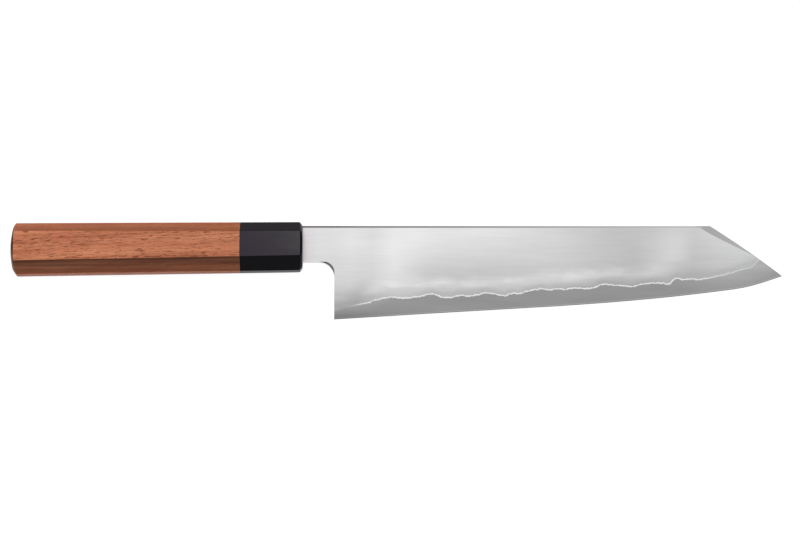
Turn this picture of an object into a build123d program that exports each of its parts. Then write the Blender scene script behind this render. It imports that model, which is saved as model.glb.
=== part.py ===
from build123d import *
from math import cos, radians, sin
import os

# Kiritsuke kitchen knife: a forge-welded three-layer blade seated in an octagonal wooden handle.
# The knife lies on its side. X runs from the butt to the point, +Y is the spine side and +Z is
# the right face of the blade. The parts are first made about the handle's axis at the ferrule's
# front, with the blade's middle plane at Z = 0, and are then set down on the handle's side flat.

# Blade outline, in millimetres
blade_length = 209.8  # heel to point
neck_length = 14.7  # ferrule front to heel
spine_rise = 10.05  # spine above the handle's axis
neck_drop = 7.3  # neck's underside below the axis
heel_drop = 34.6  # heel corner below the axis
point_drop = 13.95  # point below the axis
choil_radius = 7.4
nose_length = 33.7  # angled nose, along the knife
nose_bow = 0.45  # how far the angled nose bows out of a straight line
# Rise of the edge from heel to point, in even steps along the blade
edge_rise_shares = (
    0.0, 0.044, 0.089, 0.134, 0.177, 0.220, 0.262, 0.306, 0.357, 0.415, 0.481, 0.559, 0.648, 0.768, 1.0,
)

# Blade section
spine_thickness = 3.5  # at the neck
nose_thickness = 2.0  # of the spine, where the angled nose begins
point_thickness = 0.9  # of the spine's line, carried on to the point
crown_share = 0.35  # height of the rounded spine, of half its thickness
belly_share = 0.2  # swell of each side, of half the spine's thickness
bevel_height = 0.7  # cutting bevel
bevel_thickness = 0.24  # steel behind the cutting bevel
nose_edge_thickness = 1.0  # left on the angled nose by its side facets
nose_facet_angle = 9.5  # degrees
choil_land = 2.0  # thickness at which the choil starts to be eased
choil_easing_thickness = 3.0  # thickness at which the easing reaches its own corner radius
choil_easing_radius = 5.1

# Layers of the blade
core_share = 0.18  # hard core, of the blade's thickness
# Where the soft sides end above the edge: shares of the blade's length and of the heel's height
weld_shares = (
    (0.0, 0.085), (0.044, 0.142), (0.077, 0.174), (0.104, 0.215), (0.124, 0.232), (0.165, 0.221),
    (0.191, 0.240), (0.214, 0.268), (0.238, 0.240), (0.258, 0.225), (0.278, 0.252), (0.305, 0.244),
    (0.339, 0.278), (0.381, 0.248), (0.396, 0.272), (0.419, 0.276), (0.462, 0.328), (0.478, 0.311),
    (0.540, 0.330), (0.562, 0.321), (0.584, 0.338), (0.600, 0.373), (0.667, 0.346), (0.683, 0.369),
    (0.734, 0.386), (0.746, 0.368), (0.766, 0.436), (0.779, 0.421), (0.833, 0.431), (0.871, 0.473),
    (0.929, 0.548), (0.949, 0.628), (0.962, 0.700),
)

weld_run = 8  # steps of the welded line that run on smoothly, before it breaks direction

# Tang
tang_length = 102.0  # behind the ferrule's front
tang_root_height = 11.0
tang_end_height = 5.5
tang_root_thickness = 3.0
tang_end_thickness = 2.0
neck_seat = 1.0  # depth of the neck's seat in the ferrule
bedding = 0.4  # thickness of the bedding round the tang

# Handle
handle_length = 137.15
ferrule_length = 29.4
handle_thickness = 20.0
butt_above = 10.83  # butt's top flat above the axis
butt_below = 13.65
butt_bevel = 5.15  # height of the butt's long facets
front_above = 11.4
front_below = 11.6
front_bevel = 5.65
edge_flat = 5.6  # width of the top and bottom flats
butt_easing = 2.6  # end facets of the butt, along the top and bottom flats
butt_side_easing = 1.6  # the same, along the side flats
butt_dome_radius = 41.0
front_easing = 1.5
front_side_easing = 1.4
front_dome_radius = 250.0
easing_reach_share = 1.6  # reach of an end facet across the end, of its reach along the handle

# Dowel that joins the ferrule to the wood
dowel_diameter = 15.0
dowel_in_wood = 35.0
ferrule_wall = 5.0  # front wall of the ferrule, before the dowel's bore

# Places worked out from the sizes
point_x = neck_length + blade_length
nose_x = point_x - nose_length
heel_height = spine_rise + heel_drop
half_depth = handle_thickness / 2
overrun = blade_length  # reach of the cuts past what they cut
nose_start = Vector(nose_x, spine_rise)
point = Vector(point_x, -point_drop)
nose_line = (point - nose_start).normalized()
along_x = Vector(1, 0, 0)


def prism(outline):
    """Solid through the whole thickness, from closed edges in the blade's plane."""
    return extrude(make_face(outline), amount=overrun, both=True)


def plan_prism(points):
    """Solid through the whole height, from corners in X and Z."""
    return extrude(Plane.XZ * make_face(Polyline(*points, close=True)), amount=overrun, both=True)


def both_sides(right):
    """A piece of the knife's right side with its mirror image on the left."""
    return right + mirror(right, about=Plane.XY)


def half_spine(x):
    """Half the spine's thickness at a place along the blade."""
    if x < nose_x:
        return (spine_thickness + (nose_thickness - spine_thickness) * x / nose_x) / 2
    past = (x - nose_x) / nose_length
    return (nose_thickness + (point_thickness - nose_thickness) * past) / 2


def wedge_section(x, edge_y):
    """Cross-section of the ground blade: crowned spine, swelling sides and a cutting bevel."""
    half = half_spine(x)
    corner_y = spine_rise - crown_share * half
    bevel_y = edge_y + bevel_height
    bevel_z = bevel_thickness / 2
    middle_y = (corner_y + bevel_y) / 2
    middle_z = (half + bevel_z) / 2 + belly_share * half
    crown = ThreePointArc((x, corner_y, half), (x, spine_rise, 0), (x, corner_y, -half))
    left = ThreePointArc((x, corner_y, -half), (x, middle_y, -middle_z), (x, bevel_y, -bevel_z))
    right = ThreePointArc((x, bevel_y, bevel_z), (x, middle_y, middle_z), (x, corner_y, half))
    bevel = Polyline((x, bevel_y, -bevel_z), (x, edge_y, 0), (x, bevel_y, bevel_z))
    return Face(Wire([crown, left, *bevel.edges(), right]))


def make_wedge():
    """The ground blade before it is cut to its outline, from the ferrule to past the point."""
    steps = len(edge_rise_shares) - 1
    edge = [
        (neck_length + step / steps * blade_length, rise * (heel_drop - point_drop) - heel_drop)
        for step, rise in enumerate(edge_rise_shares)
    ]
    (heel_x, heel_y), (next_x, next_y) = edge[:2]
    slope = (next_y - heel_y) / (next_x - heel_x)
    edge.insert(0, (-neck_seat, heel_y - slope * (heel_x + neck_seat)))
    (before_x, before_y), (last_x, last_y) = edge[-2:]
    edge.append((last_x + last_x - before_x, last_y + last_y - before_y))
    return loft([wedge_section(x, edge_y) for x, edge_y in edge])


def make_choil_easing():
    """Cone that eases the corner under the neck towards the blade's right face."""
    middle_reach = choil_radius - (choil_radius - choil_easing_radius) * 2**0.5
    flare = (choil_easing_radius - middle_reach) / (choil_easing_thickness - choil_land)
    start_radius = middle_reach - flare * choil_land
    face_radius = start_radius + flare * spine_thickness
    from_middle = (Align.CENTER, Align.CENTER, Align.MIN)
    cone = Cone(start_radius, face_radius, spine_thickness / 2, align=from_middle)
    return Pos(neck_length - choil_easing_radius, -neck_drop - choil_easing_radius, 0) * cone


def make_blade():
    """Blade without its tang: the wedge, less the space under the neck and the angled nose."""
    notch = FilletPolyline(
        (-overrun, -neck_drop),
        (neck_length, -neck_drop),
        (neck_length, -overrun),
        (-overrun, -overrun),
        radius=(0, choil_radius, 0, 0),
        close=True,
    )
    reach = nose_line * nose_length
    nose = [
        Line(nose_start - reach, nose_start),
        SagittaArc(nose_start, point, nose_bow),
        Line(point, point + reach),
        Polyline(point + reach, (point_x + overrun, overrun), nose_start - reach),
    ]
    blade = make_wedge() - prism(notch) - both_sides(make_choil_easing()) - prism(nose)
    tilt = radians(nose_facet_angle)
    outward = Vector(-nose_line.Y, nose_line.X) * sin(tilt)
    for side in (1, -1):
        facet = Plane(
            origin=nose_start + Vector(0, 0, side * nose_edge_thickness / 2),
            x_dir=nose_line,
            z_dir=outward + Vector(0, 0, side * cos(tilt)),
        )
        blade = split(blade, bisect_by=facet, keep=Keep.BOTTOM)
    return blade


def make_tang(extra):
    """The tapered tang, or with some extra all round, the slot that it is bedded in."""
    end_x = -tang_length - extra
    root_y = tang_root_height / 2 + extra
    end_y = tang_end_height / 2 + extra
    outline = FilletPolyline(
        (-neck_seat, root_y),
        (end_x, end_y),
        (end_x, -end_y),
        (-neck_seat, -root_y),
        radius=(0, end_y / 2, end_y / 2, 0),
        close=True,
    )
    root_z = tang_root_thickness / 2 + extra
    end_z = tang_end_thickness / 2 + extra
    sides = [(-neck_seat, root_z), (end_x, end_z), (end_x, -end_z), (-neck_seat, -root_z)]
    return prism(outline) & plan_prism(sides)


def make_layers(steel):
    """Splits the steel into the hard core and the two soft sides that are forge-welded to it."""
    right_of_core = [
        (-tang_length - overrun, core_share * tang_end_thickness / 2),
        (-tang_length, core_share * tang_end_thickness / 2),
        (-neck_seat, core_share * spine_thickness / 2),
        (nose_x, core_share * nose_thickness / 2),
        (point_x, core_share * point_thickness / 2),
        (point_x + overrun, core_share * point_thickness / 2),
        (point_x + overrun, overrun),
        (-tang_length - overrun, overrun),
    ]
    weld = [
        (neck_length + along * blade_length, up * heel_height - heel_drop)
        for along, up in weld_shares
    ]
    far_x = point_x + overrun
    waves = [
        Spline(*weld[first : first + weld_run + 1]) for first in range(0, len(weld) - 1, weld_run)
    ]
    below = Polyline(weld[-1], (far_x, weld[-1][1]), (far_x, -overrun), (weld[0][0], -overrun), weld[0])
    bare_core = [*waves, below]
    right_zone = plan_prism(right_of_core) - prism(bare_core)
    right = steel & right_zone
    left = steel & mirror(right_zone, about=Plane.XY)
    return steel - right - left, right, left


def octagon_corners(x, above, below, bevel):
    """Corners of the handle's right half at one end, from the top flat round to the bottom flat."""
    return [
        Vector(x, above, 0),
        Vector(x, above, edge_flat / 2),
        Vector(x, above - bevel, half_depth),
        Vector(x, bevel - below, half_depth),
        Vector(x, -below, edge_flat / 2),
        Vector(x, -below, 0),
    ]


def grind_flat(body, a, b, c):
    """Grinds a flat through three points, and keeps the side that holds the body's middle."""
    normal = (b - a).cross(c - a)
    if normal.dot(a - body.center()) < 0:
        normal = -normal
    return split(body, bisect_by=Plane(origin=a, x_dir=b - a, z_dir=normal), keep=Keep.BOTTOM)


def ease_end(half, corners, inward, easing, side_easing):
    """Grinds a small sloping facet where each long flat meets the end."""
    setbacks = (easing, easing, side_easing, side_easing, easing, easing)
    for index in range(len(corners) - 1):
        a, b = corners[index : index + 2]
        a_back, b_back = setbacks[index : index + 2]
        outward = (b - a).cross(along_x).normalized()
        on_end = (a + b) / 2 - outward * easing_reach_share * (a_back + b_back) / 2
        half = grind_flat(half, a + inward * a_back, b + inward * b_back, on_end)
    return half


def dome_end(body, crown, inward, radius):
    """Rounds an end to a shallow dome about the handle's middle."""
    rim = handle_thickness
    depth = radius - (radius**2 - rim**2) ** 0.5
    edge_point = crown + inward * depth + Vector(0, rim, 0)
    far = inward * (handle_length + handle_length)
    outline = [
        RadiusArc(crown, edge_point, radius if inward.X > 0 else -radius),
        Polyline(edge_point, crown + far + Vector(0, rim, 0), crown + far, crown),
    ]
    return body & revolve(make_face(outline), axis=Axis(crown, along_x))


def make_handle_form():
    """Wood and ferrule as one tapering octagon, with eased and domed ends."""
    butt = octagon_corners(-handle_length, butt_above, butt_below, butt_bevel)
    front = octagon_corners(0, front_above, front_below, front_bevel)
    side_view = Polyline(butt[0], front[0], front[-1], butt[-1], close=True)
    half = extrude(make_face(side_view), amount=half_depth)
    for flat_corner, side_corner in ((1, 2), (4, 3)):
        half = grind_flat(half, butt[side_corner], front[side_corner], butt[flat_corner])
    half = ease_end(half, butt, along_x, butt_easing, butt_side_easing)
    half = ease_end(half, front, -along_x, front_easing, front_side_easing)
    form = both_sides(half)
    butt_middle = (butt[0] + butt[-1]) / 2
    front_middle = (front[0] + front[-1]) / 2
    form = dome_end(form, butt_middle, along_x, butt_dome_radius)
    return dome_end(form, front_middle, -along_x, front_dome_radius)


def make_dowel_space():
    """Round space that runs from inside the ferrule into the wood."""
    back = ferrule_length + dowel_in_wood
    circle = Plane.YZ.offset(-back) * Circle(dowel_diameter / 2)
    return extrude(circle, amount=back - ferrule_wall)


steel = make_blade() + make_tang(0)
slot = make_tang(bedding)
dowel_space = make_dowel_space()
handle_form = make_handle_form()
joint = Plane(origin=(-ferrule_length, 0, 0), z_dir=along_x)
blade_core, cladding_right, cladding_left = make_layers(steel)
nodes = {
    "blade_core": blade_core,
    "cladding_right": cladding_right,
    "cladding_left": cladding_left,
    "tang_bedding": slot - steel,
    "tang_dowel": dowel_space - slot,
    "ferrule": split(handle_form, bisect_by=joint, keep=Keep.TOP) - dowel_space - slot - steel,
    "handle_body": split(handle_form, bisect_by=joint, keep=Keep.BOTTOM) - dowel_space - slot,
}

# Set down on the handle's left side flat, with the origin below the middle of the whole knife
highest = max(front_above, butt_above, spine_rise)
lowest = -max(heel_drop, front_below, butt_below)
place = Pos((handle_length - point_x) / 2, -(highest + lowest) / 2, half_depth)

os.makedirs("parts", exist_ok=True)
for name, shape in nodes.items():
    export_step(place * shape, f"parts/{name}.step")
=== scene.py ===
from math import cos, pi, radians, sin, sqrt, tan

import bmesh
import bpy
import numpy as np
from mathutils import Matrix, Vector, noise


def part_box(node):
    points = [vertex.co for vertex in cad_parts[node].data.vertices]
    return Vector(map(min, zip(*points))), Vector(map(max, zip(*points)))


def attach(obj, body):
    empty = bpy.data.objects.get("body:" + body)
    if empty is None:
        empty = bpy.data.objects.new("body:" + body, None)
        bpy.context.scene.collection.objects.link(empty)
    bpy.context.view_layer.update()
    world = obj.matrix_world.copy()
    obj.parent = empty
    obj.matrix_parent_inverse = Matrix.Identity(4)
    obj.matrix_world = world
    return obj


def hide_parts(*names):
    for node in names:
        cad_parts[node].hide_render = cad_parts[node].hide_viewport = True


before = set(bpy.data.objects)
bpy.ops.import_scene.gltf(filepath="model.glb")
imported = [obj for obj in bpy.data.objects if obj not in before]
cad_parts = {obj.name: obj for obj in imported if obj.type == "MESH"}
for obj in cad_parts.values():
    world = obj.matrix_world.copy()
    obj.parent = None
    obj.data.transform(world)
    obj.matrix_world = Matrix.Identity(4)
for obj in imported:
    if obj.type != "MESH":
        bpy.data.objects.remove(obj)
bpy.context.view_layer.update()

# Sizes are in millimetres, in the knife's own coordinates: x runs from the ferrule's front towards
# the point, y from the handle's axis towards the spine, and z from the blade's middle plane towards
# its right face.
MM = 0.001

# Blade, seen from the side
blade_length = 209.8  # heel to point
neck_length = 14.7  # ferrule to heel
spine_rise = 10.05  # over the handle's axis
neck_drop = 7.3  # neck's underside, heel's corner and point under the axis
heel_drop = 34.6
point_drop = 13.95
choil_radius = 7.4  # rounded corner under the neck
nose_length = 33.7
nose_bow = 0.45  # how far the nose's line bows out

# The edge's rise from the heel's corner to the point, at even steps along the blade
edge_rise_shares = (0, .044, .089, .134, .177, .220, .262, .306, .357, .415, .481, .559, .648, .768, 1)

# Blade, in section
spine_thickness = 3.5
nose_thickness = 2.0
point_thickness = 0.9
core_share = 0.18  # of the thickness
crown_share = 0.35  # height of the spine's crown, of half the thickness
belly_share = 0.2  # swelling of the sides, of half the thickness
bevel_height = 0.7
bevel_thickness = 0.24
nose_edge_thickness = 1.1
nose_facet_angle = 7.7
choil_easing_radius = 4.9
choil_land = 2.0  # thickness left between the two easings of the corner under the neck

# Tang
tang_length = 102.0
tang_end_height = 5.5
tang_end_thickness = 2.0
tang_root_height = 11.0
tang_root_thickness = 3.0
neck_seat = 1.0  # depth of the neck in the ferrule

# Handle and ferrule: heights over and under the axis, of the sloping flats, and depths of the
# end facets behind the end's plane
handle_length = 137.15
ferrule_length = 29.4
handle_thickness = 20.0
edge_flat = 5.6  # width of the top and bottom flats
butt_above = 10.83
butt_below = 13.65
butt_bevel = 5.15
butt_easing = 2.6
butt_easing_below = 3.1
butt_side_easing = 1.6
butt_dome = 41.0
front_above = 11.4
front_below = 11.6
front_bevel = 5.65
front_easing = 1.5
front_side_easing = 1.0
front_dome = 250.0
easing_reach_share = 1.6  # how far in an end facet reaches, of its depth
rounding = 1.25  # power that rounds the end facets a little

point_x = neck_length + blade_length
nose_x = point_x - nose_length

# Place of the knife's zero in the row frame, in metres
ORIGIN = Vector((
    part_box("blade_core")[1].x - point_x * MM,
    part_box("cladding_right")[1].y - spine_rise * MM,
    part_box("handle_body")[1].z - handle_thickness / 2 * MM,
))


def place(points):
    """Knife coordinates in millimetres to the row frame in metres."""
    return np.array(points, float) * MM + np.array(ORIGIN)


# Meshes. Each face belongs to a group, and the distances are in metres.
GROUPS = {"side": 0, "facet": 1, "crown": 2, "cut": 3, "inner": 4, "cap": 5, "bevel": 6}
weld_distance = 2e-6
shortest_edge = 1e-6


def turn_outward(bm):
    """Turns each closed shell's faces outward."""
    bmesh.ops.recalc_face_normals(bm, faces=bm.faces)
    left = set(bm.faces)
    while left:
        shell, waiting = [], [left.pop()]
        while waiting:
            face = waiting.pop()
            shell.append(face)
            near = {other for edge in face.edges for other in edge.link_faces} & left
            left -= near
            waiting += near
        if sum(face.calc_center_median().dot(face.normal) * face.calc_area() for face in shell) < 0:
            bmesh.ops.reverse_faces(bm, faces=shell)


def make_piece(name, points, faces, groups):
    """A mesh piece; an edge between faces of different groups stays crisp."""
    mesh = bpy.data.meshes.new(name)
    mesh.from_pydata([tuple(p) for p in place(points)], [], faces)
    tag = mesh.attributes.new("group", "INT", "FACE")
    tag.data.foreach_set("value", groups)
    bm = bmesh.new()
    bm.from_mesh(mesh)
    bmesh.ops.remove_doubles(bm, verts=bm.verts, dist=weld_distance)
    bmesh.ops.dissolve_degenerate(bm, edges=bm.edges, dist=shortest_edge)
    turn_outward(bm)
    layer = bm.faces.layers.int["group"]
    for face in bm.faces:
        face.smooth = True
    for edge in bm.edges:
        if len(edge.link_faces) == 2:
            a, b = edge.link_faces
            edge.smooth = a[layer] == b[layer]
    bm.to_mesh(mesh)
    bm.free()
    piece = bpy.data.objects.new(name, mesh)
    bpy.context.scene.collection.objects.link(piece)
    return piece


def cubic(xs, ys):
    """Natural cubic curve through even steps."""
    xs, ys = np.array(xs, float), np.array(ys, float)
    count, step = len(xs), xs[1] - xs[0]
    weights = np.eye(count)
    bends = np.zeros(count)
    for i in range(1, count - 1):
        weights[i, i - 1 : i + 2] = (1, 4, 1)
        bends[i] = 6 * (ys[i - 1] - 2 * ys[i] + ys[i + 1]) / step**2
    m = np.linalg.solve(weights, bends)

    def value(x):
        i = int(min(max((x - xs[0]) // step, 0), count - 2))
        t = (x - xs[i]) / step
        u = 1 - t
        return u * ys[i] + t * ys[i + 1] + step**2 / 6 * ((u**3 - u) * m[i] + (t**3 - t) * m[i + 1])

    return value


steps = len(edge_rise_shares) - 1
station = [neck_length + i / steps * blade_length for i in range(steps + 1)]
rise = [share * (heel_drop - point_drop) - heel_drop for share in edge_rise_shares]
pitch = station[1] - station[0]
edge_y = cubic(
    [station[0] - pitch] + station + [station[-1] + pitch],
    [2 * rise[0] - rise[1]] + rise + [2 * rise[-1] - rise[-2]],
)

# Where the soft sides end on the blade's face, in knife coordinates
weld_line = (
    (14.7, -30.9), (19.0, -29.4), (23.9, -28.34), (27.7, -27.38), (30.9, -26.9), (32.3, -25.95),
    (35.2, -25.47), (36.6, -24.99), (40.8, -24.27), (45.0, -24.51), (49.2, -24.85), (52.0, -24.18),
    (54.8, -24.03), (56.2, -23.55), (59.1, -22.74), (60.9, -22.69), (61.9, -23.08), (64.7, -24.03),
    (68.9, -24.65), (70.3, -24.03), (73.1, -23.31), (75.9, -23.7), (78.8, -23.79), (81.1, -23.22),
    (84.4, -22.36), (87.2, -22.26), (91.4, -23.08), (94.7, -23.65), (97.0, -22.6), (102.7, -22.36),
    (105.5, -21.4), (108.3, -20.68), (111.6, -19.97), (113.9, -20.68), (115.3, -20.83), (118.1, -20.21),
    (123.8, -20.54), (128.0, -19.82), (132.7, -20.35), (137.8, -19.39), (139.2, -18.05), (140.6, -17.96),
    (143.4, -18.29), (149.1, -18.77), (154.7, -19.25), (158.0, -18.2), (163.1, -17.57), (168.8, -17.43),
    (171.1, -18.29), (173.0, -16.86), (174.4, -15.42), (175.8, -15.14), (178.1, -15.9), (181.9, -15.42),
    (185.2, -15.8), (189.4, -15.42), (192.2, -14.61), (197.3, -13.51), (201.1, -12.55), (203.9, -11.6),
    (206.7, -10.78), (209.5, -10.16), (211.4, -8.97), (213.3, -7.05), (215.2, -5.0),
)


# The line's corners are softened, and its ends have no raggedness: (place, length of the fade)
weld_softening = 0.35
ragged_start, ragged_end = (22, 8), (212, 6)
weld_waves = ((0.34, 0.55, 3.1), (0.3, 1.2, 7.7))


def weld_y(x):
    """Height of the welded line, with the fine raggedness of forged steel."""
    xs, ys = zip(*weld_line)
    y = sum(np.interp(x + d, xs, ys) for d in (-weld_softening, 0, weld_softening)) / 3
    begun = min(1, max(0, (x - ragged_start[0]) / ragged_start[1]))
    left = min(1, max(0, (ragged_end[0] - x) / ragged_end[1]))
    ragged = sum(size * noise.noise((x * rate, row, 0)) for size, rate, row in weld_waves)
    return y + begun * left * ragged


nose_start, point = Vector((nose_x, spine_rise)), Vector((point_x, -point_drop))
nose_line = (point - nose_start).normalized()
outward = Vector((-nose_line.y, nose_line.x))
arc = [
    nose_start.lerp(point, t) + outward * 4 * nose_bow * t * (1 - t) for t in np.linspace(0, 1, 201)
]
arc_x, arc_y = [p.x for p in arc], [p.y for p in arc]


def top_y(x):
    """Height of the spine and of the nose's cut line."""
    return spine_rise if x <= nose_x else float(np.interp(x, arc_x, arc_y))


def half_spine(x):
    if x < nose_x:
        return (spine_thickness + (nose_thickness - spine_thickness) * x / nose_x) / 2
    past = (x - nose_x) / nose_length
    return (nose_thickness + (point_thickness - nose_thickness) * past) / 2


def half_core(x):
    spots = (-tang_length, -neck_seat, nose_x, point_x)
    whole = (tang_end_thickness, spine_thickness, nose_thickness, point_thickness)
    return core_share / 2 * float(np.interp(x, spots, whole))


def corner_y(x):
    """Height where the side meets the spine's crown."""
    return spine_rise - crown_share * half_spine(x)


def wedge_z(x, y):
    """Half thickness of the ground blade, below its crown."""
    low, half = edge_y(x), half_spine(x)
    if y < low + bevel_height:
        return max(0, bevel_thickness / 2 * (y - low) / bevel_height)
    t = (y - low - bevel_height) / (corner_y(x) - low - bevel_height)
    return bevel_thickness / 2 * (1 - t) + half * t + belly_share * half * 4 * t * (1 - t)


def crown_y(x, z):
    """Height of the spine's crown, a shallow arc across the thickness."""
    half = half_spine(x)
    rise = crown_share * half
    radius = (half**2 + rise**2) / (2 * rise)
    return spine_rise - radius + sqrt(radius**2 - z**2)


def facet_z(x, y):
    """Half thickness that the angled nose's side facet leaves."""
    inward = (nose_start - Vector((x, y))).dot(outward)
    return nose_edge_thickness / 2 + tan(radians(nose_facet_angle)) * inward


def find(inside, low, high):
    """Last place from low towards high where inside holds, to a few thousandths of a millimetre."""
    if inside(high):
        return high
    for _ in range(16):
        middle = (low + high) / 2
        low, high = (middle, high) if inside(middle) else (low, middle)
    return low


def crown_row(x, count):
    """Top of the section from its side to the core: (y, z), the crown or the cut nose."""
    core, top = half_core(x), top_y(x)
    if x > nose_x:
        side = max(core * 0.2, min(facet_z(x, top), wedge_z(x, top)))
        core = min(core, side)
        return [(top, side + (core - side) * i / count) for i in range(count + 1)]
    side = find(lambda z: facet_z(x, crown_y(x, z)) > z, core, half_spine(x))
    across = [side + (core - side) * i / count for i in range(count + 1)]
    return [(crown_y(x, z), z) for z in across]


low_rows, side_rows, facet_rows, crown_rows, core_rows, easing_rows = 13, 26, 6, 4, 8, 5
low_crowding = 1.6
heel_weld = weld_y(neck_length)
middle_share = (-neck_drop - choil_radius - heel_weld) / (corner_y(neck_length) - heel_weld)


def middle_y(x):
    """Height of the row of points that meets the corner under the neck."""
    low = min(weld_y(x), top_y(x))
    return low + middle_share * (min(corner_y(x), top_y(x)) - low)


def side_points(x, bottom, middle):
    """Outer surface from the bottom up to the crown: (y, z, group)."""
    crown = crown_row(x, crown_rows)
    end = crown[0][0]
    cap = corner_y(x) if x < nose_x else end
    crease = find(lambda y: wedge_z(x, y) < facet_z(x, y), middle, min(cap, end))
    points = []
    if bottom is not None:
        points += [
            (y, wedge_z(x, y), "side")
            for y in (bottom + (middle - bottom) * (i / low_rows) ** low_crowding for i in range(low_rows))
        ]
    points += [
        (y, wedge_z(x, y), "side")
        for y in (middle + (crease - middle) * i / side_rows for i in range(side_rows))
    ]
    tip = crown[0][1]
    start_z = wedge_z(x, crease)
    points += [
        (crease + (end - crease) * i / facet_rows, start_z + (tip - start_z) * i / facet_rows, "facet")
        for i in range(facet_rows)
    ]
    return points + [(y, z, "crown") for y, z in crown]


def skin(rings, groups, first_cap=True, last_cap=True):
    """Faces between closed rings of the same count. groups[i] is that of the strip after point i."""
    points, faces, tags = [], [], []
    count = len(rings[0])
    for ring in rings:
        points += ring
    for r in range(len(rings) - 1):
        for i in range(count):
            j = (i + 1) % count
            a, b = r * count, (r + 1) * count
            faces.append((a + i, a + j, b + j, b + i))
            tags.append(GROUPS[groups[i]])
    if first_cap:
        faces.append(tuple(range(count))[::-1])
        tags.append(GROUPS["cap"])
    if last_cap:
        faces.append(tuple(range(len(points) - count, len(points))))
        tags.append(GROUPS["cap"])
    return points, faces, tags


def join(*parts):
    """One mesh of several."""
    points, faces, tags = [], [], []
    for p, f, t in parts:
        faces += [tuple(i + len(points) for i in face) for face in f]
        points += p
        tags += t
    return points, faces, tags


def spread(low, high, step):
    """Even places from low to high, about a step apart."""
    return list(np.linspace(low, high, max(2, int(round((high - low) / step)) + 1)))


# Places of the sections along the blade, closer together towards the nose
facet_search = 15
facet_start = find(
    lambda x: facet_z(x, crown_y(x, half_spine(x))) > half_spine(x), nose_x - facet_search, nose_x,
)
soft_end = find(lambda x: weld_y(x) < top_y(x), nose_x, point_x)
coarse_end = 180
coarse_step, middle_step, fine_step, neck_step, corner_columns = 0.6, 0.4, 0.3, 0.9, 31
columns = (
    spread(neck_length, coarse_end, coarse_step)[:-1] + spread(coarse_end, facet_start, middle_step)[:-1]
    + spread(facet_start, nose_x, fine_step)[:-1] + spread(nose_x, soft_end, fine_step)
)
tip_columns = spread(soft_end, point_x, fine_step)
corner_x = neck_length - choil_radius
neck_columns = spread(-neck_seat, corner_x, neck_step)[:-1] + [
    corner_x + choil_radius * sin(a) for a in np.linspace(0, pi / 2, corner_columns)
]


def neck_y(x):
    """Underside of the neck and the rounded inner corner before the heel."""
    past = x - corner_x
    if past <= 0:
        return -neck_drop
    return -neck_drop - choil_radius + sqrt(max(0, choil_radius**2 - past**2))


def eased_z(x, y):
    """Half thickness that the easing leaves in the corner under the neck."""
    away, down = max(0, neck_length - x), max(0, -neck_drop - y)
    radius = away + down + sqrt(2 * away * down)
    share = (choil_radius - radius) / (choil_radius - choil_easing_radius)
    return choil_land / 2 + share * (wedge_z(x, y) - choil_land / 2)


def main_ring(x):
    """Section of a soft side between the heel and the nose: its outer and its inner points."""
    low, middle = min(weld_y(x), top_y(x)), middle_y(x)
    outer = side_points(x, low, middle)
    core = min(half_core(x), outer[-1][1])
    return outer, [(middle, core, "inner"), (low, core, "cut")]


def soft_ring(x, outer, inner, side):
    return [(x, y, side * z) for y, z, _ in outer + inner]


def neck_ring(x):
    """Section of a soft side over the neck, with its easing below, up to the heel."""
    low = neck_y(x)
    rim = low
    if corner_x < x < neck_length:
        rim = find(lambda y: eased_z(x, y) < wedge_z(x, y), low, -neck_drop)
    heights = [low + (rim - low) * i / easing_rows for i in range(easing_rows)]
    easing = [(y, eased_z(x, y) if rim > low else wedge_z(x, y), "bevel") for y in heights]
    return easing + side_points(x, None, rim), [(low, half_core(x), "cut")]


def strip_groups(outer, inner):
    """Groups by strip: from each point to the next, and back to the first."""
    names = [g for _, _, g in outer]
    names[-1] = "inner"
    return names + [g for _, _, g in inner]


def tang_part(low_z, high_z):
    """One layer of the tang, a tapered bar from the neck back into the handle."""
    ends = []
    for x, height, thickness in (
        (-tang_length, tang_end_height, tang_end_thickness),
        (-neck_seat, tang_root_height, tang_root_thickness),
    ):
        a, b = low_z(x, thickness), high_z(x, thickness)
        ends.append([(x, -height / 2, a), (x, height / 2, a), (x, height / 2, b), (x, -height / 2, b)])
    return skin(ends, ["inner"] * 4)


def make_soft_side(name, side):
    rings = [main_ring(x) for x in columns]
    groups = strip_groups(*rings[0])
    main = skin([soft_ring(x, o, i, side) for x, (o, i) in zip(columns, rings)], groups, first_cap=False)
    count = len(groups)
    heel_cap = tuple(range(low_rows + 1)) + (count - 2, count - 1)
    main[1].append(heel_cap)
    main[2].append(GROUPS["cap"])
    necks = [neck_ring(x) for x in neck_columns]
    neck = skin(
        [soft_ring(x, o, i, side) for x, (o, i) in zip(neck_columns, necks)],
        strip_groups(*necks[0]), last_cap=False,
    )
    tang = tang_part(lambda x, t: side * half_core(x), lambda x, t: side * t / 2)
    return make_piece(name, *join(main, neck, tang))


def core_ring(x):
    """Right half of the core's section from the top down to the edge."""
    top, low = top_y(x), min(weld_y(x), top_y(x))
    rim = crown_row(x, 1)[-1]
    core = rim[1]
    edge, bevel = edge_y(x), min(edge_y(x) + bevel_height, top)

    def outer_z(y):
        return min(wedge_z(x, y), facet_z(x, y))

    half = [(rim[0], core, "inner"), (middle_y(x), core, "inner"), (low, core, "cut")]
    half += [
        (y, outer_z(y), "side") for y in (low + (bevel - low) * (i / core_rows) for i in range(core_rows))
    ]
    half += [(y, outer_z(y), "bevel") for y in (bevel, (bevel + edge) / 2)]
    return top, half, edge


def whole_ring(x, top, half, bottom):
    """Both halves of a core section, with its middle points."""
    right = [(x, y, z) for y, z, _ in half]
    left = [(x, y, -z) for y, z, _ in reversed(half)]
    return [(x, top, 0)] + right + ([(x, bottom, 0)] if bottom is not None else []) + left


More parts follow.
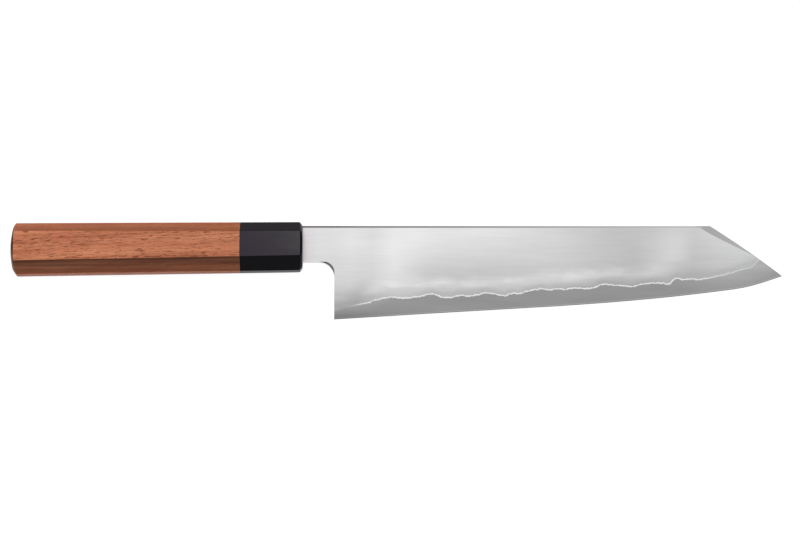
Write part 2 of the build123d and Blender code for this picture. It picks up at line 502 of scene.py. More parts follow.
def make_core(name):
    rings = [whole_ring(x, *core_ring(x)) for x in columns + tip_columns[1:-1]]
    rings.append([(point_x, -point_drop, 0)] * len(rings[0]))
    names = [group for _, _, group in core_ring(columns[0])[1]]
    main = skin(rings, ["crown"] + names + names[::-1] + ["crown"], first_cap=False, last_cap=False)
    count = len(rings[0])
    main[1].append(tuple(range(2, count - 1)))
    main[2].append(GROUPS["cap"])
    neck_rings = []
    for x in neck_columns:
        rim, low = crown_row(x, 1)[-1], neck_y(x)
        half = [(rim[0], rim[1], "inner"), (low, half_core(x), "cut")]
        neck_rings.append(whole_ring(x, spine_rise, half, None))
    neck = skin(neck_rings, ["crown", "inner", "cut", "inner", "crown"], last_cap=False)
    tang = tang_part(lambda x, t: -half_core(x), lambda x, t: half_core(x))
    return make_piece(name, *join(main, neck, tang))


weld_sampling, calm_window, batch = 0.25, 81, 4000


def mark_blade(piece):
    """Adds what the steel's material reads: heights over the welded line, and places of its finish."""
    mesh = piece.data
    co = np.empty(len(mesh.vertices) * 3)
    mesh.vertices.foreach_get("co", co)
    co = (co.reshape(-1, 3) - np.array(ORIGIN)) / MM
    xs = np.arange(neck_length, soft_end + 2, weld_sampling)
    line = np.array([(x, weld_y(x)) for x in xs])
    gap = np.empty(len(co))
    for start in range(0, len(co), batch):
        part = co[start : start + batch, :2]
        near = np.sqrt(((part[:, None] - line[None]) ** 2).sum(2)).min(1)
        level = np.interp(part[:, 0], line[:, 0], line[:, 1])
        gap[start : start + batch] = np.where(part[:, 1] >= level, near, -near)
    top = np.array([top_y(x) for x in co[:, 0]])
    edge = np.array([edge_y(x) for x in co[:, 0]])
    padded = np.pad(line[:, 1], calm_window // 2, mode="edge")
    calm_line = np.convolve(padded, np.ones(calm_window) / calm_window, mode="valid")
    above = co[:, 1] - np.interp(co[:, 0], line[:, 0], calm_line)
    for title, values in (
        ("weld_gap", gap),
        ("above_weld", above),
        ("below_spine", top - co[:, 1]),
        ("above_edge", co[:, 1] - edge),
    ):
        mesh.attributes.new(title, "FLOAT", "POINT").data.foreach_set("value", values.astype(np.float32))
    groups = np.empty(len(mesh.polygons), int)
    mesh.attributes["group"].data.foreach_get("value", groups)
    loops = np.repeat(groups, [p.loop_total for p in mesh.polygons])
    for title, group in (("is_facet", "facet"), ("is_crown", "crown"), ("is_bevel", "bevel")):
        layer = mesh.attributes.new(title, "FLOAT", "CORNER")
        layer.data.foreach_set("value", (loops == GROUPS[group]).astype(np.float32))


# Handle: a tapering octagon with softened arrises and domed, eased ends
def octagon(x):
    """Corners of the handle's section, first those of the right side from the top down."""
    u = 1 + x / handle_length
    above, below, bevel = (
        a + (b - a) * u
        for a, b in ((butt_above, front_above), (butt_below, front_below), (butt_bevel, front_bevel))
    )
    half, flat = handle_thickness / 2, edge_flat / 2
    right = [(above, flat), (above - bevel, half), (bevel - below, half), (-below, flat)]
    return right + [(y, -z) for y, z in reversed(right)]


arris_radius, arris_points, flat_points = 0.42, 4, 7


def ring_outline(x):
    """Octagon with softened corners, as (y, z) vectors."""
    corners = [Vector(c) for c in octagon(x)]
    count = len(corners)
    outline = []
    for i, corner in enumerate(corners):
        back = (corners[i - 1] - corner).normalized()
        ahead = (corners[(i + 1) % count] - corner).normalized()
        turn = (pi - back.angle(ahead)) / 2
        reach = arris_radius * tan(turn)
        centre = corner + (back + ahead).normalized() * (arris_radius / cos(turn))
        start = corner + back * reach
        for k in range(arris_points):
            spin = 2 * turn * k / (arris_points - 1)
            arm = start - centre
            side = 1 if back.x * ahead.y - back.y * ahead.x < 0 else -1
            outline.append(centre + Vector((
                arm.x * cos(spin) - arm.y * sin(spin) * side,
                arm.x * sin(spin) * side + arm.y * cos(spin),
            )))
        following = corners[(i + 1) % count]
        span = (following - corner).length
        for k in range(1, flat_points + 1):
            t = (reach + (span - 2 * reach) * k / (flat_points + 1)) / span
            outline.append(corner.lerp(following, t))
    return outline


def end_surface(x_end, setbacks, dome):
    """The eased, domed end as a function: depth behind its plane at a place of the section, and
    whether that place is on an end facet. setbacks are the facets' depths at the right corners."""
    corners = [Vector(corner) for corner in octagon(x_end)]
    around = setbacks + setbacks[::-1]
    middle = Vector(((corners[0].x + corners[3].x) / 2, 0))
    facets = []
    for i, start in enumerate(corners):
        j = (i + 1) % len(corners)
        along = (corners[j] - start).normalized()
        out = Vector((-along.y, along.x))
        if out.dot((start + corners[j]) / 2 - middle) < 0:
            out = -out
        facets.append((start, around[i], around[j], along, out, (corners[j] - start).length))

    def depth(p):
        ball = dome - sqrt(dome**2 - (p - middle).length_squared)
        best = ball
        for start, first, last, along, out, span in facets:
            setback = first + (last - first) * (p - start).dot(along) / span
            left = max(0, 1 - (p - start).dot(-out) / (setback * easing_reach_share))
            best = max(best, setback * left**rounding)
        return best, best > ball + 1e-9

    return depth, middle


# An end's rings: where the easing starts, where it meets the dome, and inside the dome
rim_softness, rim_width = 0.2, 0.14
dome_shares = (0.93, 0.8, 0.6, 0.4, 0.2, 0.05)


def handle_end(x_end, inward, setbacks, dome):
    """Rings from the start of the easing to the end's middle."""
    depth, middle = end_surface(x_end, setbacks, dome)
    outline = ring_outline(x_end)
    rims = []
    for p in outline:
        arm = p - middle
        low, high = 0.3, 1 - 2.5 * rim_softness / arm.length
        for _ in range(20):
            half = (low + high) / 2
            if depth(middle + arm * half)[1]:
                high = half
            else:
                low = half
        rims.append(high)

    def ring(shares, extra=0.0):
        made = []
        for p, share in zip(outline, shares):
            q = middle + (p - middle) * share
            made.append((x_end + inward * (depth(q)[0] + extra), q.x, q.y))
        return made

    inside = [1 - rim_softness / (p - middle).length for p in outline]
    near = [r + rim_width / (p - middle).length for r, p in zip(rims, outline)]
    far = [r - rim_width / (p - middle).length for r, p in zip(rims, outline)]
    halfway = [(i + r) / 2 for i, r in zip(inside, rims)]
    rings = [ring([1.0] * len(outline), rim_softness), ring(inside), ring(halfway), ring(near), ring(far)]
    return rings + [ring([f * share for f in far]) for share in dome_shares]


seam_softness, seam_middle = 0.1, Vector((-1, 0))


def seam_end(x_end, inward):
    """A flat end with a hair-fine easing, where wood and ferrule meet."""
    outline = ring_outline(x_end)
    rings = [[(x_end + inward * seam_softness, p.x, p.y) for p in outline]]
    for share in (None, 0.8, 0.4, 0.05):
        made = []
        for p in outline:
            arm = p - seam_middle
            q = seam_middle + arm * (share if share else 1 - seam_softness / arm.length)
            made.append((x_end, q.x, q.y))
        rings.append(made)
    return rings


def make_handle_piece(name, back, front, body_xs):
    """A piece between two ends; body_xs are its rings between them."""
    rings = back[::-1] + [[(x, p.x, p.y) for p in ring_outline(x)] for x in body_xs] + front
    piece = make_piece(name, *skin(rings, ["side"] * len(rings[0])))
    weighted = piece.modifiers.new("flats stay flat", "WEIGHTED_NORMAL")
    weighted.keep_sharp = True
    weighted.weight = 90
    return piece


side_slope, dome_slope, end_facet_slope = 0.9, 0.93, 0.2


def mark_handle(piece):
    """Adds what the handle's materials read: its flats, its ends (0.5 on the dome, 1 on the side
    flats' end facets), and places on them."""
    mesh = piece.data
    on_side, on_end = [], []
    for face in mesh.polygons:
        away, across, up = (abs(part) for part in face.normal)
        end = 0.5 if away > dome_slope else 1.0 if away > end_facet_slope and up > across else 0.0
        on_side += [1.0 if up > side_slope else 0.0] * face.loop_total
        on_end += [end] * face.loop_total
    for title, values in (("on_side", on_side), ("on_end", on_end)):
        mesh.attributes.new(title, "FLOAT", "CORNER").data.foreach_set("value", values)
    heights, outwards = [], []
    for vertex in mesh.vertices:
        spot = (vertex.co - ORIGIN) / MM
        (top, _), (upper, _), (lower, _), (bottom, _) = octagon(spot.x)[:4]
        heights.append(spot.y - lower)
        outwards.append(max((spot.y - upper) / (top - upper), (spot.y - lower) / (bottom - lower)))
    for title, values in (("above_arris", heights), ("across_bevel", outwards)):
        mesh.attributes.new(title, "FLOAT", "POINT").data.foreach_set("value", values)


# Materials
class Nodes:
    """Short calls for a material's nodes."""

    def __init__(self, name):
        self.material = bpy.data.materials.new(name)
        self.material.use_nodes = True
        self.tree = self.material.node_tree
        self.shader = self.tree.nodes["Principled BSDF"]

    def add(self, kind, **settings):
        node = self.tree.nodes.new(kind)
        for key, value in settings.items():
            setattr(node, key, value)
        return node

    def link(self, source, target):
        """Links a socket to the target, or sets the target to a value."""
        if hasattr(source, "is_linked"):
            self.tree.links.new(source, target)
        else:
            target.default_value = source

    def attribute(self, name):
        return self.add("ShaderNodeAttribute", attribute_name=name).outputs["Fac"]

    def math(self, operation, a, b=0.0, c=0.0, clamp=False):
        node = self.add("ShaderNodeMath", operation=operation, use_clamp=clamp)
        for socket, value in zip(node.inputs, (a, b, c)):
            self.link(value, socket)
        return node.outputs[0]

    def product(self, a, b):
        return self.math("MULTIPLY", a, b)

    def ramp(self, value, *stops):
        node = self.add("ShaderNodeValToRGB")
        set_stops(node, stops)
        self.link(value, node.inputs["Fac"])
        return node.outputs["Color"]

    def remap(self, value, low, high, to_low=0.0, to_high=1.0, smooth=False):
        node = self.add("ShaderNodeMapRange", clamp=True)
        if smooth:
            node.interpolation_type = "SMOOTHSTEP"
        for socket, v in zip(node.inputs, (value, low, high, to_low, to_high)):
            self.link(v, socket)
        return node.outputs[0]

    def band(self, value, low, rise, fall, high, smooth=False):
        """1 between rise and fall, and 0 up to low and from high on."""
        return self.product(
            self.remap(value, low, rise, smooth=smooth), self.remap(value, high, fall, smooth=smooth),
        )

    def noise(self, coords, detail, roughness, spread, shift=(0, 0, 0)):
        """A noise pattern with its own scale and shift along each axis."""
        mapping = self.add("ShaderNodeMapping")
        self.link(coords, mapping.inputs["Vector"])
        mapping.inputs["Scale"].default_value = spread
        mapping.inputs["Location"].default_value = shift
        node = self.add("ShaderNodeTexNoise")
        self.link(mapping.outputs[0], node.inputs["Vector"])
        for key, value in (("Scale", 1), ("Detail", detail), ("Roughness", roughness)):
            node.inputs[key].default_value = value
        return node.outputs["Fac"]

    def vary(self, pattern, low, high):
        """A value from low to high that follows a noise pattern."""
        return self.remap(pattern, 0.3, 0.7, low, high)

    def mix(self, share, a, b, blend="MIX"):
        node = self.add("ShaderNodeMix", data_type="RGBA", blend_type=blend)
        for socket, value in zip((node.inputs[0], node.inputs[6], node.inputs[7]), (share, a, b)):
            self.link(value, socket)
        return node.outputs[2]

    def times(self, colour, factor, share=1.0):
        """The colour times a factor, where share says how far."""
        return self.mix(share, colour, factor, "MULTIPLY")

    def bump(self, height, strength, distance):
        node = self.add("ShaderNodeBump")
        node.inputs["Strength"].default_value = strength
        node.inputs["Distance"].default_value = distance
        self.link(height, node.inputs["Height"])
        self.link(node.outputs[0], self.shader.inputs["Normal"])

    def place(self):
        return self.add("ShaderNodeTexCoord").outputs["Object"]

    def xyz(self, coords):
        node = self.add("ShaderNodeSeparateXYZ")
        self.link(coords, node.inputs[0])
        return node.outputs


def set_stops(ramp, stops):
    """Gives a ramp its stops: (place, grey level or colour)."""
    elements = ramp.color_ramp.elements
    while len(elements) < len(stops):
        elements.new(0.5)
    for element, (spot, colour) in zip(elements, stops):
        element.position = spot
        element.color = colour if hasattr(colour, "__len__") else even(colour)


def even(level):
    return (level, level, level, 1)


def tone(value):
    """Linear value of an sRGB grey from 0 to 255."""
    share = value / 255
    return share / 12.92 if share <= 0.04045 else ((share + 0.055) / 1.055) ** 2.4


def rgb(r, g, b):
    return (tone(r), tone(g), tone(b), 1)


# The steels read x in metres of the row frame, and heights over the edge, over the weld line and
# under the spine in millimetres.
def brushing(n, coords):
    """Fine scratches along the blade."""
    streaks = n.noise(coords, 4, 0.6, (28, 5200, 900))
    fine = n.noise(coords, 2, 0.6, (90, 15000, 900), (9, 4, 0))
    return n.math("ADD", n.product(streaks, 0.6), n.product(fine, 0.4))


def weld_shown(n, x):
    """How clearly the weld line shows: hidden at the heel, faint at the point."""
    return n.product(n.remap(x, -0.024, -0.012, smooth=True), n.remap(x, 0.168, 0.136, 0.3, 1.0))


def finish_steel(n, colour, brushed, low_roughness, high_roughness):
    n.link(colour, n.shader.inputs["Base Color"])
    n.link(n.vary(brushed, low_roughness, high_roughness), n.shader.inputs["Roughness"])
    n.shader.inputs["Metallic"].default_value = 1.0
    n.bump(brushed, 0.12, 0.00002)
    return n.material


def hard_steel_material():
    """The honed core: a dull band, darker at the heel's corner and paler at the point."""
    n = Nodes("honed hard steel")
    coords = n.place()
    x = n.xyz(coords)[0]
    brushed = brushing(n, coords)
    height = n.remap(n.attribute("above_edge"), 0, 9)
    middle = n.ramp(height, (0.0, tone(152)), (0.5, tone(153)), (0.8, tone(154)), (1.0, tone(156)))
    heel = n.ramp(
        height, (0.0, tone(127)), (0.18, tone(137)), (0.42, tone(152)), (0.62, tone(167)), (0.9, tone(180)),
    )
    tip = n.ramp(height, (0.0, tone(155)), (0.4, tone(166)), (1.0, tone(180)))
    colour = n.mix(n.remap(x, -0.03, 0.01, 1.0, 0.0, smooth=True), middle, heel)
    colour = n.mix(n.remap(x, 0.12, 0.16, smooth=True), colour, tip)
    clouds = n.noise(coords, 3, 0.55, (34, 260, 1), (3, 1, 0))
    colour = n.times(colour, n.vary(clouds, 0.95, 1.05))
    colour = n.times(colour, n.vary(brushed, 0.96, 1.04))
    colour = n.times(colour, even(1.35), n.attribute("is_bevel"))
    ragged = n.noise(coords, 3, 0.6, (700, 1100, 1), (6, 2, 0))
    drips = n.remap(n.math("MULTIPLY_ADD", ragged, 1.5, n.attribute("weld_gap")), 0.5, 0.7)
    drips = n.product(n.product(drips, weld_shown(n, x)), 0.7)
    colour = n.mix(drips, colour, rgb(226, 228, 228))
    return finish_steel(n, colour, brushed, 0.40, 0.50)


def painted_face_reflection(n, along):
    """The face's grey from the neck to the point, with its rise and fall along the blade painted in as
    reflection.
    """
    return n.ramp(
        along, (0.0, tone(223)), (0.06, tone(220)), (0.1, tone(224)), (0.145, tone(218)), (0.19, tone(231)),
        (0.24, tone(232)), (0.3, tone(228)), (0.42, tone(222)), (0.54, tone(209)), (0.64, tone(196)),
        (0.7, tone(195)), (0.77, tone(204)), (0.815, tone(199)), (0.86, tone(205)), (1.0, tone(206)),
    )


def haze_shade(n, x, height):
    """How much darker the face is over the weld line: a dull band under a pale haze."""
    reach = n.remap(height, 0, 28)
    heel = n.ramp(
        reach, (0.0, 0.51), (0.08, 0.54), (0.17, 0.62), (0.27, 0.73), (0.42, 0.87), (0.67, 0.94), (1.0, 1.0),
    )
    haze_start = n.ramp(
        reach, (0.0, 0.66), (0.05, 0.70), (0.12, 0.76), (0.19, 0.85), (0.26, 0.89), (0.39, 0.92),
        (0.6, 0.97), (1.0, 1.0),
    )
    haze_left = n.ramp(
        reach, (0.0, 0.58), (0.05, 0.60), (0.08, 0.64), (0.12, 0.71), (0.17, 0.80), (0.22, 0.81),
        (0.27, 0.77), (0.335, 0.71), (0.42, 0.725), (0.5, 0.762), (0.67, 0.845), (0.82, 0.92), (1.0, 1.0),
    )
    haze_right = n.ramp(
        reach, (0.0, 0.68), (0.036, 0.72), (0.08, 0.82), (0.12, 0.92), (0.17, 1.0), (0.22, 1.02),
        (0.27, 0.99), (0.335, 0.93), (0.42, 0.91), (0.5, 0.94), (0.67, 0.96), (1.0, 1.0),
    )
    tip = n.ramp(
        reach, (0.0, 0.71), (0.08, 0.73), (0.12, 0.80), (0.17, 0.855), (0.25, 0.905), (0.33, 0.93),
        (0.5, 0.99),
    )
    shade = heel
    for start, end, following in (
        (-0.020, -0.009, haze_start),
        (-0.004, 0.018, haze_left),
        (0.03, 0.085, haze_right),
        (0.112, 0.136, tip),
    ):
        shade = n.mix(n.remap(x, start, end, smooth=True), shade, following)
    return shade


def haze_height(n, coords, gap):
    """Height over the weld line that the haze follows: near the line its waves, higher up calmer."""
    drift = n.math("SUBTRACT", n.noise(coords, 3, 0.55, (34, 260, 1), (3, 1, 0)), 0.5)
    calm = n.math("SUBTRACT", n.attribute("above_weld"), gap)
    away = n.math("ADD", calm, n.product(drift, 4.0))
    return n.math("ADD", gap, n.product(away, n.remap(gap, 1.0, 4.5, smooth=True)))


def soft_steel_material():
    """The brushed sides, with the haze, the bright weld line, the nose's facet and the spine, and painted
    light on them.
    """
    n = Nodes("brushed soft steel")
    coords = n.place()
    x = n.xyz(coords)[0]
    along = n.remap(x, ORIGIN.x, ORIGIN.x + point_x * MM)
    brushed = brushing(n, coords)
    gap, below_spine = n.attribute("weld_gap"), n.attribute("below_spine")
    height = haze_height(n, coords, gap)
    # The face's grey with its painted reflection along the blade, times the haze.
    colour = n.times(painted_face_reflection(n, along), haze_shade(n, x, height))

    # Painted highlight: a pale patch on the face towards the point, high over the weld line.
    painted_highlight = n.product(
        n.band(x, 0.108, 0.128, 0.132, 0.142, smooth=True), n.band(height, 7, 11, 17, 28, smooth=True),
    )
    colour = n.times(colour, even(1.12), painted_highlight)
    # Painted reflection: the face paler towards the point.
    colour = n.times(colour, (1.09, 1.10, 1.10, 1), n.remap(x, 0.145, 0.168, smooth=True))
    clouds = n.noise(coords, 2, 0.5, (22, 60, 1), (5, 2, 0))
    colour = n.times(colour, n.vary(clouds, 0.965, 1.035))
    strokes = n.noise(coords, 3, 0.6, (45, 800, 1), (8, 6, 0))
    colour = n.times(colour, n.vary(strokes, 0.975, 1.025))
    crest = n.product(n.remap(x, 0.084, 0.098, smooth=True), 0.05)
    puffs = n.math("ADD", n.noise(coords, 2, 0.5, (75, 170, 1), (2, 4, 0)), crest)
    in_haze = n.product(n.band(height, 2.5, 5.5, 7, 11), n.remap(x, 0.118, 0.135, 1.0, 0.0, smooth=True))
    colour = n.times(colour, even(1.12), n.product(in_haze, n.remap(puffs, 0.45, 0.62)))
    # Painted highlight: a thin light line on the face just under the spine.
    colour = n.times(colour, even(1.06), n.band(below_spine, 0.9, 1.3, 1.5, 2.0))
    colour = n.times(colour, n.vary(brushed, 0.955, 1.045))

    frayed = n.noise(coords, 3, 0.65, (800, 1300, 1), (1, 8, 0))
    across = n.math("DIVIDE", gap, n.vary(frayed, 0.2, 0.78))
    line = n.math("SUBTRACT", 1.0, n.remap(across, 0.55, 1.15), clamp=True)
    colour = n.mix(n.product(line, weld_shown(n, x)), colour, rgb(232, 234, 234))
    # Painted light: a faint pink cast on the neck next to the ferrule.
    colour = n.times(colour, rgb(253, 248, 252), n.remap(x, -0.036, -0.043, smooth=True))
    facet_tone = n.ramp(n.remap(x, 0.14, 0.17), (0, tone(163)), (1, tone(178)))
    colour = n.mix(n.attribute("is_facet"), colour, facet_tone)

    # Painted shade: the spine's crown and the face's top millimetre darker, most at the heel and lighter
    # towards the point.
    spine = n.math("MAXIMUM", n.attribute("is_crown"), n.remap(below_spine, 0.9, 1.5, 1.0, 0.0))
    spine = n.product(spine, n.remap(x, 0.147, 0.1465, 0.0, 1.0))
    spine_shade = n.ramp(
        along, (0.0, tone(90)), (0.07, tone(98)), (0.12, tone(122)), (0.3, tone(140)), (0.6, tone(176)),
        (0.815, tone(190)), (0.84, tone(168)),
    )
    colour = n.mix(spine, colour, spine_shade)
    # The easing under the neck darker: partly its unpolished finish, partly painted shade of its slope.
    colour = n.mix(n.attribute("is_bevel"), colour, rgb(108, 108, 110))
    return finish_steel(n, colour, brushed, 0.27, 0.36)


def leaning_grain(n, coords):
    """Coordinates that run with the wood's grain, which leans and wanders a little."""
    x, y, z = n.xyz(coords)
    warp = n.math("SUBTRACT", n.noise(coords, 2, 0.5, (22, 60, 60)), 0.5)
    lean = n.math("MULTIPLY_ADD", x, -0.055, n.product(warp, 0.005))
    bent = n.add("ShaderNodeCombineXYZ")
    places = (x, n.math("ADD", y, lean), n.math("MULTIPLY_ADD", warp, 0.003, z))
    for socket, value in zip(bent.inputs, places):
        n.link(value, socket)
    return bent.outputs[0]


def wood_base(n, coords, grain, lines):
    """Bands, blotches and fine lines of the wood's own colour."""
    bands = n.noise(grain, 3, 0.55, (12, 330, 330), (2, 0, 0))
    colour = n.ramp(
        bands, (0.28, rgb(190, 113, 81)), (0.45, rgb(205, 127, 92)), (0.58, rgb(216, 138, 101)),
        (0.74, rgb(227, 149, 110)),
    )
    blotches = n.noise(coords, 2, 0.5, (70, 260, 260), (4, 2, 0))
    colour = n.mix(n.remap(blotches, 0.42, 0.62, 0.0, 0.25), colour, rgb(214, 124, 94))
    line_tone = n.ramp(lines, (0.36, rgb(224, 220, 216)), (0.55, 1.0), (0.68, rgb(255, 255, 250)))
    return n.times(colour, line_tone)


def painted_bevel_shading(n, coords):
    """Painted shade on the sloping flats, in bands, and a painted reflection on the top and bottom flats."""
    stripes = n.math("SUBTRACT", n.noise(coords, 2, 0.5, (5, 900, 500), (0, 1, 8)), 0.5)
    outward = n.attribute("across_bevel")
    across = n.math("ADD", outward, n.product(stripes, 1.6))
    upper = n.ramp(across, (0.25, rgb(208, 183, 140)), (0.6, rgb(230, 207, 176)))
    lower = n.ramp(across, (0.0, rgb(142, 144, 146)), (0.22, rgb(167, 172, 176)), (0.8, rgb(202, 204, 206)))
    bevel = n.mix(n.remap(n.attribute("above_arris"), 3, 6), lower, upper)
    return n.mix(n.remap(outward, 0.95, 1.0), bevel, (1.32, 1.17, 1.15, 1))


def wood_material():
    n = Nodes("reddish hardwood, oiled")
    coords = n.place()
    x = n.xyz(coords)[0]
    on_side, on_end, arris = n.attribute("on_side"), n.attribute("on_end"), n.attribute("above_arris")
    grain = leaning_grain(n, coords)
    lines = n.noise(grain, 4, 0.65, (55, 1900, 1900), (0, 3, 0))
    colour = wood_base(n, coords, grain, lines)

    crowd = n.math("SUBTRACT", n.noise(grain, 2, 0.5, (34, 330, 330), (1, 6, 2)), 0.5)
    # More dark dashes along the lower arris: partly the grain's own, partly painted shade there.
    row = n.product(n.band(arris, 0.1, 0.4, 0.8, 1.5), n.remap(x, -0.16, -0.15, 0.3, 1.0))
    row = n.product(row, n.remap(x, -0.09, -0.08, 0.15, 0.07))
    push = n.math("MULTIPLY_ADD", crowd, 0.2, row)
    flecks = n.noise(grain, 2, 0.65, (720, 2600, 2600), (7, 1, 4))
    fleck = n.remap(n.math("ADD", flecks, push), 0.54, 0.63)
    dashes = n.noise(grain, 1, 0.5, (250, 2000, 2000), (1, 5, 2))
    dash = n.remap(n.math("ADD", dashes, push), 0.615, 0.66)
    thread = n.remap(n.noise(grain, 2, 0.5, (70, 1700, 1700), (6, 4, 1)), 0.63, 0.68)
    # Painted highlights: pale sheen spots, on the side flats only.
    painted_sheen = n.remap(n.noise(grain, 3, 0.6, (260, 1700, 1700), (3, 3, 9)), 0.56, 0.72)
    for mark, on_bevels, on_sides, mark_tone in (
        (fleck, 0.12, 0.31, rgb(128, 68, 44)),
        (dash, 0.2, 0.66, rgb(88, 44, 28)),
        (thread, 0.1, 0.5, rgb(120, 62, 42)),
        # the sheen mark is painted highlight
        (painted_sheen, 0.0, 0.5, rgb(238, 164, 122)),
    ):
        colour = n.mix(n.product(mark, n.remap(on_side, 0, 1, on_bevels, on_sides)), colour, mark_tone)
    # Painted shade and reflection on all but the side flats.
    colour = n.times(colour, n.mix(on_side, painted_bevel_shading(n, coords), even(1)))
    colour = n.times(colour, n.remap(x, -0.18, -0.1, 1.19, 1.06))

    pores = n.noise(coords, 2, 0.6, (900, 1300, 1300), (2, 9, 4))
    end_grain = n.ramp(pores, (0.38, rgb(40, 19, 10)), (0.55, rgb(84, 45, 27)), (0.75, rgb(102, 56, 34)))
    # The side flats' end facets near black: partly darker end grain, partly painted shade.
    end_colour = n.mix(n.remap(on_end, 0.5, 1.0), end_grain, rgb(27, 12, 5))
    colour = n.mix(n.remap(on_end, 0.0, 0.5), colour, end_colour)
    n.link(colour, n.shader.inputs["Base Color"])
    roughness = n.math("MAXIMUM", n.remap(dash, 0, 1, 0.42, 0.6), n.product(on_end, 0.85))
    n.link(roughness, n.shader.inputs["Roughness"])
    n.shader.inputs["Specular IOR Level"].default_value = 0.12
    n.bump(n.math("SUBTRACT", n.product(lines, 0.3), dash), 0.4, 0.00005)
    return n.material


def ferrule_material():
    n = Nodes("polished black horn")
    coords = n.place()
    x, y, _ = n.xyz(coords)
    clouds = n.noise(coords, 3, 0.5, (60, 160, 160))
    fine = n.noise(coords, 3, 0.6, (120, 2600, 2600))
    # Painted reflection: the side flats grey, paler towards the front and the top; the clouds are the horn's
    # own mottle.
    pale = n.math("ADD", n.remap(x, -0.072, -0.044, 0.0, 0.55), n.remap(y, 0.006, 0.018, 0.0, 0.35))
    pale = n.math("MULTIPLY_ADD", n.math("SUBTRACT", clouds, 0.5), 0.6, pale)
    flat = n.ramp(pale, (0.0, rgb(63, 58, 66)), (0.5, rgb(70, 66, 72)), (1.0, rgb(90, 87, 90)))
    # Painted shade: the sloping flats in darker copies of the black, darkest by the top and bottom flats.
    bevel = n.mix(n.remap(n.attribute("above_arris"), 3, 6), rgb(30, 29, 32), rgb(15, 9, 17))
    bevel = n.mix(n.remap(n.attribute("across_bevel"), 0.93, 0.99), bevel, rgb(3, 2, 11))
    colour = n.mix(n.attribute("on_side"), bevel, flat)
    colour = n.mix(n.remap(n.attribute("on_end"), 0.0, 0.5), colour, rgb(14, 12, 14))
    n.link(colour, n.shader.inputs["Base Color"])
    n.shader.inputs["Specular IOR Level"].default_value = 0.029
    n.shader.inputs["Specular Tint"].default_value = (0.86, 0.82, 1.0, 1)
    n.link(n.vary(fine, 0.17, 0.25), n.shader.inputs["Roughness"])
    n.bump(fine, 0.05, 0.00002)
    return n.material


def resin_material():
    n = Nodes("bedding resin")
    grit = n.noise(n.place(), 3, 0.6, (900, 900, 900))
    n.link(n.ramp(grit, (0.3, rgb(96, 78, 54)), (0.7, rgb(128, 106, 74))), n.shader.inputs["Base Color"])
    n.link(n.vary(grit, 0.5, 0.7), n.shader.inputs["Roughness"])
    n.bump(grit, 0.3, 0.00005)
    return n.material


def dowel_material():
    n = Nodes("pale dowel wood")
    lines = n.noise(n.place(), 4, 0.6, (40, 1300, 1300))
    n.link(n.ramp(lines, (0.3, rgb(176, 142, 98)), (0.7, rgb(211, 180, 134))), n.shader.inputs["Base Color"])
    n.link(n.vary(lines, 0.55, 0.7), n.shader.inputs["Roughness"])
    n.bump(lines, 0.4, 0.00008)
    return n.material


def give(piece, material):
    piece.data.materials.clear()
    piece.data.materials.append(material)


soft_steel = soft_steel_material()
for piece, node, slot, material in (
    (make_core("hard_core"), "blade_core", "core_steel", hard_steel_material()),
    (make_soft_side("soft_side_right", 1), "cladding_right", "soft_steel", soft_steel),
    (make_soft_side("soft_side_left", -1), "cladding_left", "soft_steel", soft_steel),
):
    mark_blade(piece)
    give(piece, material)
    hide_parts(node)
    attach(piece, "root")

seam = -ferrule_length
butt_setbacks = (butt_easing, butt_side_easing, butt_side_easing, butt_easing_below)
front_setbacks = (front_easing, front_side_easing, front_side_easing, front_easing)
wood = make_handle_piece(
    "octagonal_handle",
    handle_end(-handle_length, 1, butt_setbacks, butt_dome),
    seam_end(seam, -1),
    (-126, -100, -75, -50, -36),
)
ferrule = make_handle_piece(
    "black_ferrule",
    seam_end(seam, 1),
    handle_end(0, -1, front_setbacks, front_dome),
    (-27, -20, -12, -5),
)
for piece, node, slot, material in (
    (wood, "handle_body", "handle_wood", wood_material()),
    (ferrule, "ferrule", "ferrule_black", ferrule_material()),
):
    mark_handle(piece)
    give(piece, material)
    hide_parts(node)
    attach(piece, "root")
give(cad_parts["tang_bedding"], resin_material())
give(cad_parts["tang_dowel"], dowel_material())


# Floor, world and camera, in metres
floor_radius, floor_corners, floor_gap = 14, 96, 0.0002
floor_glow = 0.93


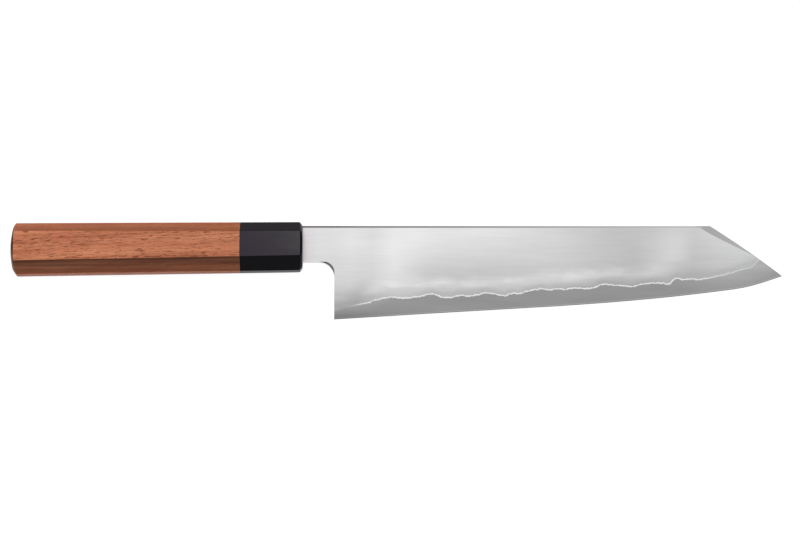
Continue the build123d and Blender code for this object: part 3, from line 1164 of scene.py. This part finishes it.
def make_floor():
    mesh = bpy.data.meshes.new("floor")
    turns = np.linspace(0, 2 * pi, floor_corners, endpoint=False)
    rim = [(floor_radius * cos(a), floor_radius * sin(a), -floor_gap) for a in turns]
    mesh.from_pydata(rim, [], [tuple(range(floor_corners))])
    floor = bpy.data.objects.new("floor", mesh)
    bpy.context.scene.collection.objects.link(floor)
    n = Nodes("pale floor")
    n.shader.inputs["Base Color"].default_value = (0.22, 0.22, 0.22, 1)
    n.shader.inputs["Roughness"].default_value = 0.9
    n.shader.inputs["Specular IOR Level"].default_value = 0.0
    rays = n.add("ShaderNodeLightPath").outputs
    seen = n.math("MAXIMUM", rays["Is Camera Ray"], rays["Is Glossy Ray"])
    seen = n.math("MAXIMUM", seen, rays["Is Transmission Ray"])
    n.shader.inputs["Emission Color"].default_value = (1, 1, 1, 1)
    n.link(n.product(seen, floor_glow), n.shader.inputs["Emission Strength"])
    give(floor, n.material)


sky_tilt = radians(16)
sky_strength = 1.05
sky_stops = ((0.0, 0.06), (0.2, 0.12), (0.4, 0.34), (0.6, 0.72), (0.75, 0.96), (1.0, 1.0))


def make_world():
    """A plain sky, brightest overhead and a little towards the spine, darker near the horizon."""
    world = bpy.data.worlds.new("studio")
    bpy.context.scene.world = world
    world.use_nodes = True
    tree = world.node_tree
    background = tree.nodes["Background"]
    direction = tree.nodes.new("ShaderNodeTexCoord").outputs["Generated"]
    lean = tree.nodes.new("ShaderNodeVectorMath")
    lean.operation = "DOT_PRODUCT"
    tree.links.new(direction, lean.inputs[0])
    lean.inputs[1].default_value = Vector((0, sin(sky_tilt), cos(sky_tilt)))
    ramp = tree.nodes.new("ShaderNodeValToRGB")
    set_stops(ramp, sky_stops)
    tree.links.new(lean.outputs["Value"], ramp.inputs["Fac"])
    tree.links.new(ramp.outputs["Color"], background.inputs["Color"])
    background.inputs["Strength"].default_value = sky_strength


camera_tilt = radians(11.6)
picture_width = 0.375
aim = ORIGIN + Vector((45.47, -9.345, 0)) * MM


def make_camera():
    camera = bpy.data.cameras.new("camera")
    camera.sensor_width = 36
    camera.lens = 200
    holder = bpy.data.objects.new("camera", camera)
    bpy.context.scene.collection.objects.link(holder)
    back = Vector((0, -sin(camera_tilt), cos(camera_tilt)))
    holder.location = aim + back * (picture_width * camera.lens / camera.sensor_width)
    holder.rotation_mode = "QUATERNION"
    holder.rotation_quaternion = (-back).to_track_quat("-Z", "Y")
    camera.clip_start, camera.clip_end = 0.05, 60
    bpy.context.scene.camera = holder


make_floor()
make_world()
make_camera()
bpy.context.scene.view_settings.view_transform = "Standard"
